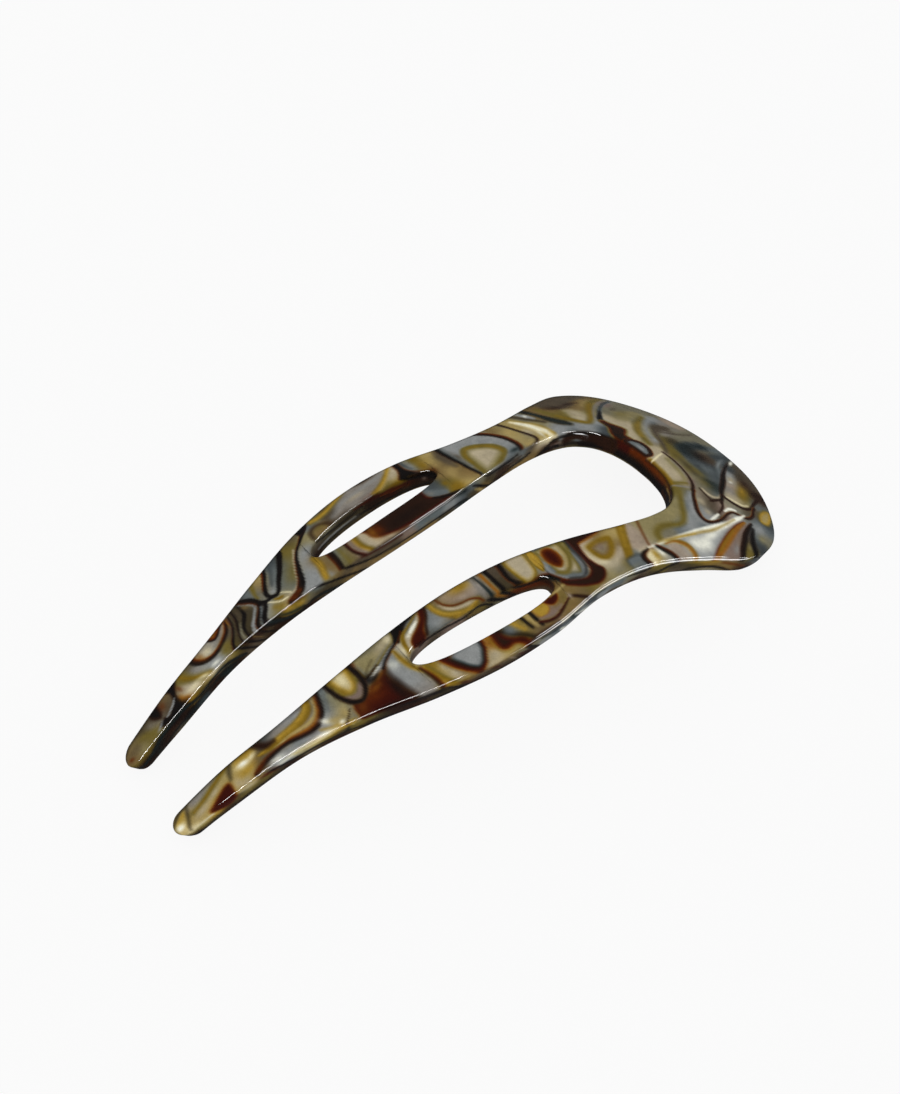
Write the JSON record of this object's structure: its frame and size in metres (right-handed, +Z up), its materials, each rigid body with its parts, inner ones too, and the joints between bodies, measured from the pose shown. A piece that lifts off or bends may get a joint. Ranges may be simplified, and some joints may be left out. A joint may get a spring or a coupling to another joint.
{
  "type": "hairpin",
  "caption": "U-shaped hairpin cut from pearly marbled acetate sheet, with tapered slotted prongs, a wide rounded crown and a gentle arch.",
  "frame": {"origin": "under the middle of the pin's box, on the surface that it lies on", "axes": "+X from the tips to the crown, +Y across the prongs, +Z up, with the arch's hollow side down"},
  "size_m": [0.1088, 0.0468, 0.0181],
  "materials": {
    "acetate": "polished marbled cellulose acetate with a pearl sheen"
  },
  "bodies": {
    "root": {"pin_body": "acetate"}
  },
  "joints": []
}
